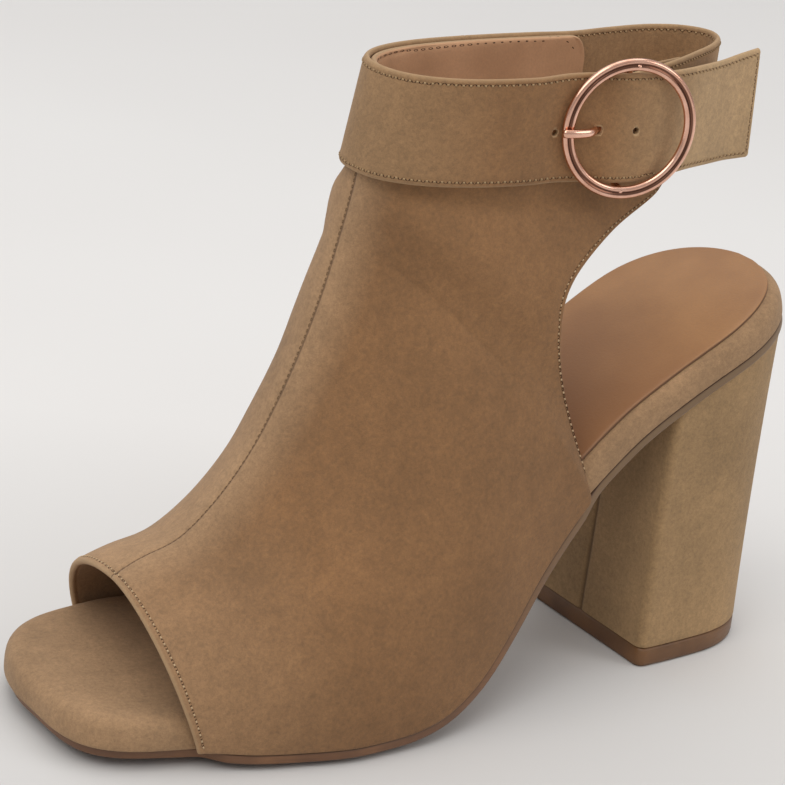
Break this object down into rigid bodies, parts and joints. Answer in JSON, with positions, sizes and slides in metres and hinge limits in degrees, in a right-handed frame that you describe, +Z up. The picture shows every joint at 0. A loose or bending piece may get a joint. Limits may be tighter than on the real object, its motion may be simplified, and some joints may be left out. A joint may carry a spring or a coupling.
{
  "type": "peep toe sandal",
  "caption": "High peep toe ankle sandal with a block heel, a wide wrapped ankle band fastened by a round open buckle, and an open back.",
  "frame": {"origin": "centre of the heel's tread, on the floor", "axes": "+X to the back of the heel, the toe towards -X; -Y to the outer side, where the buckle is; +Y to the inner side; +Z up"},
  "size_m": [0.2161, 0.0873, 0.1701],
  "materials": {
    "upper_suede": "napped suede",
    "band_suede": "napped suede",
    "footbed_suede": "napped suede over a padded edge",
    "heel_suede": "napped suede over a block",
    "sock_leather": "smooth satin",
    "sole_brown": "satin brown edge",
    "tip_brown": "satin brown edge",
    "rose_gold": "polished rose gold plating"
  },
  "bodies": {
    "root": {"outsole": "sole_brown", "footbed": "footbed_suede", "sock_lining": "sock_leather", "upper": "upper_suede", "cuff_band": "band_suede", "heel_strap": "band_suede", "buckle_ring": "rose_gold", "buckle_prong": "rose_gold", "heel": "heel_suede", "heel_tip": "tip_brown"}
  },
  "joints": []
}
